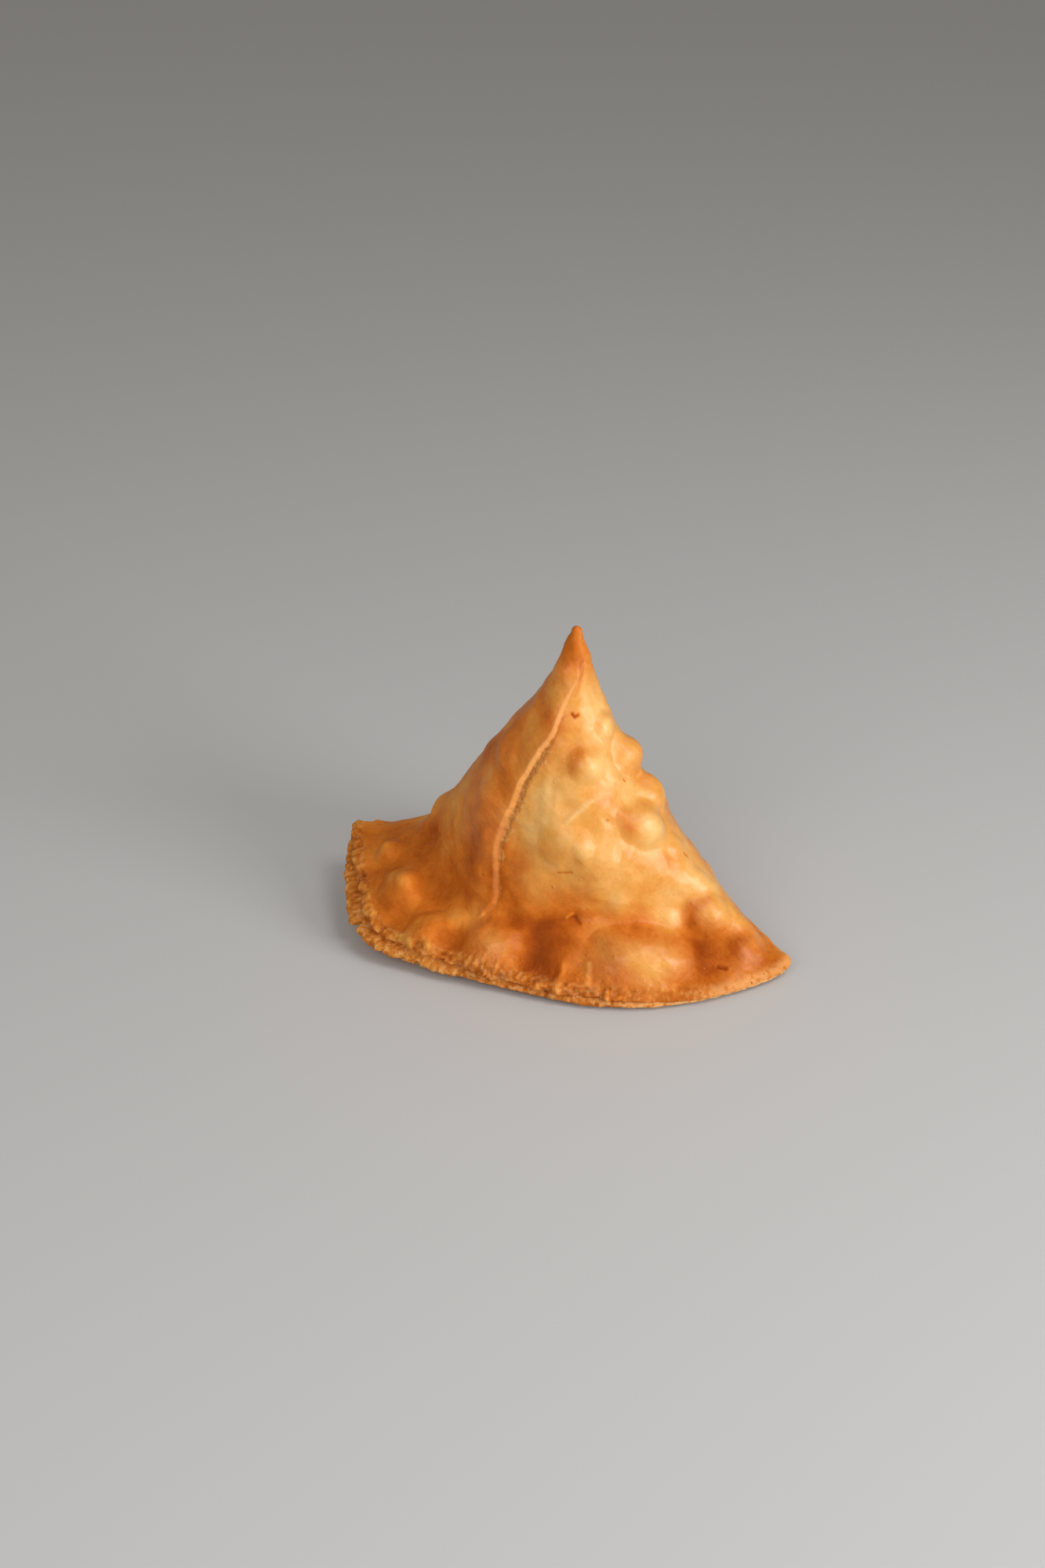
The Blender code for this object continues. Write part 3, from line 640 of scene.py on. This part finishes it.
def baseTone(plain):
    x, z = plain[..., 0], plain[..., 2]
    left, right, high = softStep((-x - 8) / 10), softStep((x - 1) / 14), softStep((z - 11) / 6)
    rightTone = browningAndPaintedLight["rightLow"] + (browningAndPaintedLight["rightHigh"] - browningAndPaintedLight["rightLow"]) * high
    return browningAndPaintedLight["patches"] * noiseAt(plain, 16.0, 2, 51.0) + browningAndPaintedLight["left"] * left + right * rightTone


def oilMask(x, tone, swell, rim):
    # oil lies on the paler skin and the blisters, most of it to the right, and none on the crumbly rim
    oil = browningAndPaintedLight["oil"] + browningAndPaintedLight["oilOnBrown"] * tone.clip(0) + browningAndPaintedLight["oilOnPale"] * (-tone).clip(0)
    left, middle, right = browningAndPaintedLight["oilSides"]
    side = left + middle * softStep((x + 27) / 12) + right * softStep(x / 12)
    oil = (oil + browningAndPaintedLight["oilOnBlisters"] * swell) * side
    return oil.clip(0, 1) * (1 - rim).clip(0)


def bakedMask(x, lowerLip):
    # how much paler the crumbly rim is than its grain makes it
    right, corner, left = softStep((x - 4) / 18), softStep((x - 24) / 10), softStep((-x - 22) / 16)
    lowerPaler, upperBrowner, cornerPaler, leftBrowner = browningAndPaintedLight["rim"]
    baked = (lowerPaler * lowerLip - upperBrowner) * right
    return baked + cornerPaler * (1 - lowerLip) * corner - leftBrowner * left


def makeCrust():
    at, length = linesRound()
    turns = stationColumn("turn")
    turns.append(turns[0] - 360)
    turn = np.radians(smoothCurve(range(len(turns)), turns, at))
    plain, parts, pinch = plainSamosa(at, length, turn)
    print("crust drawn:", plain.shape[0], "rings of", plain.shape[1])

    x = plain[..., 0]
    onLip, upperLip, lowerLip, rim = lipMasks(plain, parts, pinch)
    crumb = noiseAt(plain, 1.1, 3, 11.0)
    lift = np.zeros(plain.shape[:2])
    tone = baseTone(plain)
    swell = raiseBlisters(plain, lift, tone)
    face, gap = lapSeam(plain, turn, lift, crumb)
    roughen(plain, lift, tone, crumb, onLip, upperLip, lowerLip)
    addCreases(plain, lift, tone)
    # the listed tones, with their painted highlights and painted shade
    for centre, radius, amount in tonesAndPaintedLight:
        tone += amount * np.exp(-(((plain - np.array(centre)) ** 2).sum(-1)) / radius**2)
    # painted light: paler tops where the blisters swell
    tone += browningAndPaintedLight["blisterTopsPaintedLight"] * swell
    masks = {"tone": tone, "rim": rim, "face": face, "gap": gap, "crumb": crumb + bakedMask(x, lowerLip),
             "oil": oilMask(x, tone, swell, rim)}

    clearOfTable = softStep((plain[..., 2] - 0.6) / 2.5)
    out = outwardFrom(plain, (1, 2, 3, 4, 5, 6, 8, 10))
    shaped = plain + out * (lift * clearOfTable)[..., None]
    shaped[..., 2] = shaped[..., 2].clip(0, None)
    shaped[:1] = shaped[0].mean(0)
    shaped[-1:] = shaped[-1].mean(0)

    # the drawing is fitted to the pastry's own box
    low, high = shaped.reshape(-1, 3).min(0), shaped.reshape(-1, 3).max(0)
    boxLow, boxHigh = np.array(pastryBox[0]), np.array(pastryBox[1])
    fitted = boxLow + (shaped - low) / (high - low) * (boxHigh - boxLow)
    print("drawn size", (high - low).round(2), "mm, box", ((boxHigh - boxLow) * 1000).round(2))

    piece = wrapped("crust", fitted, masks)
    thin = piece.modifiers.new("thin", "DECIMATE")
    thin.ratio = crust["triangles"] / (2 * crust["lines"] * (len(fitted) - 2))
    bpy.ops.object.modifier_apply(modifier=thin.name)
    bpy.ops.object.shade_smooth()
    print("crust made:", len(piece.data.polygons), "faces")
    return piece


crustPiece = makeCrust()


def addNode(tree, kind, **values):
    node = tree.nodes.new(kind)
    for name, value in values.items():
        setattr(node, name, value)
    return node


def attribute(tree, name):
    return addNode(tree, "ShaderNodeAttribute", attribute_name=name).outputs["Fac"]


def mathNode(tree, operation, a, b=None, c=None, clamp=False):
    node = addNode(tree, "ShaderNodeMath", operation=operation, use_clamp=clamp)
    for socket, value in zip(node.inputs, (a, b, c)):
        if value is None:
            continue
        if isinstance(value, (int, float)):
            socket.default_value = value
        else:
            tree.links.new(value, socket)
    return node.outputs[0]


def noiseNode(tree, coords, scale, detail=3.0, roughness=0.55, distortion=0.0):
    node = addNode(tree, "ShaderNodeTexNoise")
    node.inputs["Scale"].default_value = scale
    node.inputs["Detail"].default_value = detail
    node.inputs["Roughness"].default_value = roughness
    node.inputs["Distortion"].default_value = distortion
    tree.links.new(coords, node.inputs["Vector"])
    return node.outputs["Fac"]


def mapRange(tree, value, fromMin, fromMax, toMin=0.0, toMax=1.0, smooth=False):
    node = addNode(tree, "ShaderNodeMapRange", interpolation_type="SMOOTHSTEP" if smooth else "LINEAR")
    tree.links.new(value, node.inputs["Value"])
    for name, number in (("From Min", fromMin), ("From Max", fromMax), ("To Min", toMin), ("To Max", toMax)):
        node.inputs[name].default_value = number
    return node.outputs["Result"]


def ramp(tree, value, stops):
    node = addNode(tree, "ShaderNodeValToRGB")
    tree.links.new(value, node.inputs["Fac"])
    elements = node.color_ramp.elements
    while len(elements) > 1:
        elements.remove(elements[-1])
    elements[0].position, elements[0].color = stops[0][0], (*stops[0][1], 1)
    for place, colour in stops[1:]:
        elements.new(place).color = (*colour, 1)
    return node.outputs["Color"]


def mixColour(tree, share, a, b):
    node = addNode(tree, "ShaderNodeMix", data_type="RGBA")
    for socket, value in ((node.inputs["Factor"], share), (node.inputs[6], a), (node.inputs[7], b)):
        if isinstance(value, (int, float)):
            socket.default_value = value
        elif isinstance(value, tuple):
            socket.default_value = (*value, 1)
        else:
            tree.links.new(value, socket)
    return node.outputs[2]


crumbs = {
    "kinds": 6,
    # how many, half of their width in millimetres, and their tones
    "inCrack": (24, (0.08, 0.17), (0.3, 1.2)),
    "onRim": (240, (0.10, 0.26), (-0.5, 0.6)),
    "onSkin": (36, (0.07, 0.13), (-1.1, -0.3)),
    "sunk": (-0.6, 0.3),      # how far their middles lie above the crust, in their own sizes
    "clear": 0.0012,          # none this near the table, in metres
    "seed": 11,
}


def crumbShape(number):
    # one little irregular lump, two millimetres across before it is scaled
    bpy.ops.mesh.primitive_ico_sphere_add(subdivisions=1, radius=0.001)
    lump = bpy.context.active_object
    for vertex in lump.data.vertices:
        vertex.co *= 1 + 0.8 * noise.noise(vertex.co * 900 + Vector((number * 3.7, 0, 0)))
    return lump


def makeCrumbs(crustPiece):
    # crumbs half stuck in the open seam and along the torn edge, and a few fine ones on the skin
    mesh = crustPiece.data
    count = len(mesh.vertices)
    points, normals = np.empty(count * 3, np.float32), np.empty(count * 3, np.float32)
    mesh.vertices.foreach_get("co", points)
    mesh.vertices.foreach_get("normal", normals)
    points, normals = points.reshape(-1, 3), normals.reshape(-1, 3)
    masks = {}
    for name in ("gap", "rim"):
        masks[name] = np.empty(count, np.float32)
        mesh.attributes[name].data.foreach_get("value", masks[name])
    chance = np.random.default_rng(crumbs["seed"])
    clear = points[:, 2] > crumbs["clear"]
    kinds = [crumbShape(number) for number in range(crumbs["kinds"])]
    copies = []
    weights = {"inCrack": (masks["gap"] - 0.35).clip(0), "onRim": (masks["rim"] - 0.45).clip(0),
               "onSkin": (masks["rim"] < 0.1) * 1.0}
    for where, weight in weights.items():
        total, sizes, toneRange = crumbs[where]
        weight = weight * clear
        for index in chance.choice(count, total, replace=False, p=weight / weight.sum()):
            kind = kinds[chance.integers(len(kinds))]
            crumb = kind.copy()
            crumb.data = kind.data.copy()
            size = chance.uniform(*sizes)
            crumb.scale = size * chance.uniform(0.7, 1.3, 3)
            crumb.rotation_euler = chance.uniform(0, 6.28, 3)
            height = chance.uniform(*crumbs["sunk"]) / 1000
            crumb.location = points[index] + normals[index] * size * height
            tone = crumb.data.attributes.new("tone", "FLOAT", "POINT")
            values = np.full(len(crumb.data.vertices), chance.uniform(*toneRange), np.float32)
            tone.data.foreach_set("value", values)
            bpy.context.collection.objects.link(crumb)
            copies.append(crumb)
    bpy.ops.object.select_all(action="DESELECT")
    for kind in kinds:
        kind.select_set(True)
    bpy.ops.object.delete()
    for crumb in copies:
        crumb.select_set(True)
    bpy.context.view_layer.objects.active = copies[0]
    bpy.ops.object.join()
    bpy.ops.object.transform_apply(location=True, rotation=True, scale=True)
    piece = bpy.context.active_object
    piece.name = piece.data.name = "crumbs"
    bpy.ops.object.shade_smooth()
    print("crumbs made:", len(piece.data.polygons), "faces")
    return piece


crumbPiece = makeCrumbs(crustPiece)

fryLook = {
    # the skin from pale to dark: the pale end also carries painted highlights, the dark end painted shade in
    # dips
    "cream": (0.88, 0.52, 0.17),
    "golden": (0.78, 0.335, 0.056),
    "orange": (0.65, 0.180, 0.017),
    "brown": (0.38, 0.076, 0.006),
    "burntAndShade": (0.25, 0.045, 0.004),
    "cutEdge": (0.90, 0.48, 0.18),
    # the crumbly rim: palest on the tops of its grain, darkest in its pits, partly painted light and painted
    # shade
    "crumbPale": (0.86, 0.50, 0.19),
    "crumbTan": (0.58, 0.20, 0.036),
    "crumbBrown": (0.28, 0.066, 0.008),
    # the crack: darkest in its holes, with painted shade
    "crumbHole": (0.42, 0.15, 0.025),
    "gapShade": (0.55, 0.20, 0.036),
    "gapCrumb": (0.70, 0.31, 0.080),
    "rough": (0.42, 0.60),
    "freckles": (210, 0.22, 0.82),        # scale, size, and the share of cells without one
    "pimples": (520, 0.30, 0.88),
    "specular": 0.12,
    "specularTint": (1.0, 0.60, 0.30),
    "oil": 1.0,
    "oilRoughness": 0.38,
    "soft": 0.18,                 # how much light passes into the dough, and how far each colour goes
    "softReach": (1.0, 0.35, 0.08),
}


def spots(group, coords, scale, size, few, channel):
    # small round spots, in those cells of a cell pattern whose colour is above a limit
    cells = addNode(group, "ShaderNodeTexVoronoi", feature="F1")
    cells.inputs["Scale"].default_value = scale
    group.links.new(coords, cells.inputs["Vector"])
    colour = addNode(group, "ShaderNodeSeparateColor")
    group.links.new(cells.outputs["Color"], colour.inputs["Color"])
    spot = mapRange(group, cells.outputs["Distance"], size, 0.05, 0.0, 1.0, True)
    return mathNode(group, "MULTIPLY", spot, mathNode(group, "GREATER_THAN", colour.outputs[channel], few))


def friedDoughGroup():
    # the skin of fried dough: its tone, browning with painted shade and painted highlights in it, gives the
    # colour, its grain the gloss and the height in mm
    look = fryLook
    group = bpy.data.node_groups.new("friedDough", "ShaderNodeTree")
    face = group.interface
    face.new_socket("Coords", in_out="INPUT", socket_type="NodeSocketVector")
    face.new_socket("Tone", in_out="INPUT", socket_type="NodeSocketFloat")
    face.new_socket("Colour", in_out="OUTPUT", socket_type="NodeSocketColor")
    face.new_socket("Roughness", in_out="OUTPUT", socket_type="NodeSocketFloat")
    face.new_socket("Height", in_out="OUTPUT", socket_type="NodeSocketFloat")
    given = addNode(group, "NodeGroupInput")
    made = addNode(group, "NodeGroupOutput")
    coords, tone = given.outputs["Coords"], given.outputs["Tone"]

    broad = noiseNode(group, coords, 75, 3, 0.55, 0.4)
    mottle = noiseNode(group, coords, 260, 4, 0.6, 0.5)
    fine = noiseNode(group, coords, 1400, 3, 0.6)
    depth = mathNode(group, "MULTIPLY_ADD", tone, 0.40, -0.07)
    depth = mathNode(group, "MULTIPLY_ADD", broad, 0.50, depth)
    depth = mathNode(group, "MULTIPLY_ADD", mottle, 0.32, depth)
    depth = mathNode(group, "MULTIPLY_ADD", fine, 0.20, depth)

    # the fine lines where the dough was stretched
    turned = addNode(group, "ShaderNodeMapping", vector_type="TEXTURE")
    turned.inputs["Rotation"].default_value = (0, math.radians(-48), 0)
    turned.inputs["Scale"].default_value = (0.00045, 0.003, 0.010)
    group.links.new(coords, turned.inputs["Vector"])
    stretch = noiseNode(group, turned.outputs["Vector"], 1.0, 1, 0.5)
    patches = mapRange(group, noiseNode(group, coords, 45, 1, 0.5), 0.46, 0.6, 0.0, 1.0, True)
    drawn = mathNode(group, "MULTIPLY", mathNode(group, "SUBTRACT", stretch, 0.5), patches)
    depth = mathNode(group, "MULTIPLY_ADD", drawn, -0.15, depth)

    freckles = spots(group, coords, *look["freckles"], "Green")
    depth = mathNode(group, "MULTIPLY_ADD", freckles, 0.10, depth)
    colour = ramp(group, depth, [(0.0, look["cream"]), (0.3, look["golden"]), (0.56, look["orange"]),
                                 (0.82, look["brown"]), (1.0, look["burntAndShade"])])
    group.links.new(colour, made.inputs["Colour"])
    group.links.new(mapRange(group, mottle, 0.3, 0.7, *look["rough"]), made.inputs["Roughness"])

    # the grain of the skin, and pimples
    pimples = spots(group, coords, *look["pimples"], "Red")
    height = mathNode(group, "MULTIPLY", drawn, 0.04)
    height = mathNode(group, "MULTIPLY_ADD", fine, 0.050, height)
    height = mathNode(group, "MULTIPLY_ADD", mottle, 0.13, height)
    height = mathNode(group, "MULTIPLY_ADD", pimples, 0.12, height)
    group.links.new(height, made.inputs["Height"])
    return group


def doughSurface(tree, shader, height, reach):
    # bumps of a height in millimetres, and light that passes a little way into the dough
    bump = addNode(tree, "ShaderNodeBump")
    bump.inputs["Distance"].default_value = 0.001
    tree.links.new(height, bump.inputs["Height"])
    tree.links.new(bump.outputs["Normal"], shader.inputs["Normal"])
    shader.inputs["Subsurface Weight"].default_value = fryLook["soft"]
    shader.inputs["Subsurface Radius"].default_value = fryLook["softReach"]
    shader.inputs["Subsurface Scale"].default_value = reach


def crustMaterial(dough):
    look = fryLook
    material = bpy.data.materials.new("friedCrust")
    material.use_nodes = True
    tree = material.node_tree
    shader = tree.nodes["Principled BSDF"]
    coords = addNode(tree, "ShaderNodeTexCoord").outputs["Object"]
    tone, rim, face, gap, crumb, oil = (
        attribute(tree, name) for name in ("tone", "rim", "face", "gap", "crumb", "oil"))
    skin = addNode(tree, "ShaderNodeGroup", node_tree=dough)
    tree.links.new(coords, skin.inputs["Coords"])
    tree.links.new(tone, skin.inputs["Tone"])

    # crumb, where the dough is torn: its grain, with painted light on its tops and painted shade in its holes
    grain = noiseNode(tree, coords, 1100, 3, 0.65)
    pale = mathNode(tree, "MULTIPLY_ADD", crumb, 0.16, 0.27)
    pale = mathNode(tree, "ADD", pale, mathNode(tree, "MULTIPLY", grain, 0.5))
    rimColour = ramp(tree, pale, [(0.30, look["crumbBrown"]), (0.50, look["crumbTan"]),
                                  (0.72, look["crumbPale"])])
    gapColour = ramp(tree, pale, [(0.30, look["crumbHole"]), (0.45, look["gapShade"]),
                                  (0.62, look["gapCrumb"])])
    crumbly = mathNode(tree, "MULTIPLY", rim, 0.6)
    colour = mixColour(tree, crumbly, skin.outputs["Colour"], rimColour)
    colour = mixColour(tree, mathNode(tree, "MULTIPLY", face, 0.85), colour, look["cutEdge"])
    colour = mixColour(tree, mapRange(tree, gap, 0.1, 0.5), colour, gapColour)
    tree.links.new(colour, shader.inputs["Base Color"])
    torn = mathNode(tree, "MAXIMUM", crumbly, mathNode(tree, "MAXIMUM", face, gap))
    rough = mathNode(tree, "MULTIPLY_ADD", torn, 0.25, skin.outputs["Roughness"], clamp=True)
    tree.links.new(rough, shader.inputs["Roughness"])
    pits = mathNode(tree, "MULTIPLY", grain, torn)
    doughSurface(tree, shader, mathNode(tree, "MULTIPLY_ADD", pits, 0.35, skin.outputs["Height"]), 0.002)

    tree.links.new(mathNode(tree, "MULTIPLY", oil, look["oil"]), shader.inputs["Coat Weight"])
    shader.inputs["Coat Roughness"].default_value = look["oilRoughness"]
    shader.inputs["Specular IOR Level"].default_value = look["specular"]
    shader.inputs["Specular Tint"].default_value = (*look["specularTint"], 1)
    return material


def crumbMaterial(dough):
    material = bpy.data.materials.new("friedCrumbs")
    material.use_nodes = True
    tree = material.node_tree
    shader = tree.nodes["Principled BSDF"]
    skin = addNode(tree, "ShaderNodeGroup", node_tree=dough)
    tree.links.new(addNode(tree, "ShaderNodeTexCoord").outputs["Object"], skin.inputs["Coords"])
    tree.links.new(attribute(tree, "tone"), skin.inputs["Tone"])
    tree.links.new(skin.outputs["Colour"], shader.inputs["Base Color"])
    rough = mathNode(tree, "MULTIPLY_ADD", skin.outputs["Roughness"], 0.6, 0.35)
    tree.links.new(rough, shader.inputs["Roughness"])
    doughSurface(tree, shader, skin.outputs["Height"], 0.001)
    shader.inputs["Specular IOR Level"].default_value = 0.3
    return material


dough = friedDoughGroup()
crustPiece.data.materials.clear()
crustPiece.data.materials.append(crustMaterial(dough))
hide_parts("pastry")
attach(crustPiece, "root")
crumbPiece.data.materials.clear()
crumbPiece.data.materials.append(crumbMaterial(dough))
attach(crumbPiece, "root")
print("materials done")


studio = {
    "floorColour": (0.60, 0.60, 0.60),
    "floorSize": 6.0,
    "ambient": (1.0, 0.95, 0.88),
    "ambientStrength": 0.29,
    "lamps": {                # place, power and size
        "key": ((0.60, -0.42, 0.25), 3.45, 0.42),
        "sky": ((0.27, -0.26, 0.60), 1.0, 0.3),
        "fill": ((-0.25, -0.75, 0.50), 2.65, 0.7),
    },
    "lampsLookAt": (0.0, 0.0, 0.03),
    "cameraPlace": (0.0013, -0.4267, 0.276),
    "cameraLooksAt": (-0.0094, 0.0036, 0.0376),
    "lens": 50.0,
}


def aimed(place, target):
    return (Vector(target) - Vector(place)).to_track_quat("-Z", "Y").to_euler()


def makeStudio():
    bpy.ops.mesh.primitive_plane_add(size=studio["floorSize"], location=(0, 0, 0))
    floor = bpy.context.active_object
    floor.name = "floor"
    paper = bpy.data.materials.new("paleFloor")
    paper.use_nodes = True
    shader = paper.node_tree.nodes["Principled BSDF"]
    shader.inputs["Base Color"].default_value = (*studio["floorColour"], 1)
    shader.inputs["Roughness"].default_value = 0.9
    shader.inputs["Specular IOR Level"].default_value = 0.15
    floor.data.materials.append(paper)

    for name, (place, power, size) in studio["lamps"].items():
        lamp = bpy.data.lights.new(name, "AREA")
        lamp.energy = power
        lamp.size = size
        lamp.shape = "DISK"
        holder = bpy.data.objects.new(name, lamp)
        holder.location = place
        holder.rotation_euler = aimed(place, studio["lampsLookAt"])
        bpy.context.scene.collection.objects.link(holder)

    world = bpy.data.worlds.new("studio")
    world.use_nodes = True
    sky = world.node_tree.nodes["Background"]
    sky.inputs["Color"].default_value = (*studio["ambient"], 1)
    sky.inputs["Strength"].default_value = studio["ambientStrength"]
    bpy.context.scene.world = world

    lens = bpy.data.cameras.new("camera")
    lens.lens = studio["lens"]
    lens.sensor_width = 36
    lens.clip_start = 0.01
    camera = bpy.data.objects.new("camera", lens)
    camera.location = studio["cameraPlace"]
    camera.rotation_euler = aimed(studio["cameraPlace"], studio["cameraLooksAt"])
    bpy.context.scene.collection.objects.link(camera)
    bpy.context.scene.camera = camera
    bpy.context.scene.view_settings.view_transform = "Standard"


makeStudio()
print("studio done")
